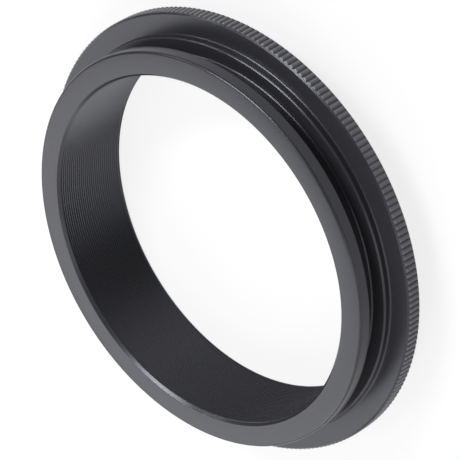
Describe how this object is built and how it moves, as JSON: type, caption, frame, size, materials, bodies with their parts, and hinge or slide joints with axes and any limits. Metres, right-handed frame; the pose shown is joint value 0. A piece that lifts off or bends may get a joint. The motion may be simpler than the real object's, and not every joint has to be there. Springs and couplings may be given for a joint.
{
  "type": "thread adapter ring",
  "caption": "Black anodised thread adapter ring for a lens: male rear thread, knurled flange, and a smooth front lip with a clip groove round a clear bore.",
  "frame": {"origin": "on the bore axis at the rear end of the threaded barrel, on which the ring stands", "axes": "+Z along the bore axis from the rear thread to the front lip; X and Y are any two radii"},
  "size_m": [0.075, 0.075, 0.0147],
  "materials": {
    "black_anodised_aluminium": "satin black anodised, fine turned surface"
  },
  "bodies": {
    "root": {"adapter_ring": "black_anodised_aluminium"}
  },
  "joints": []
}
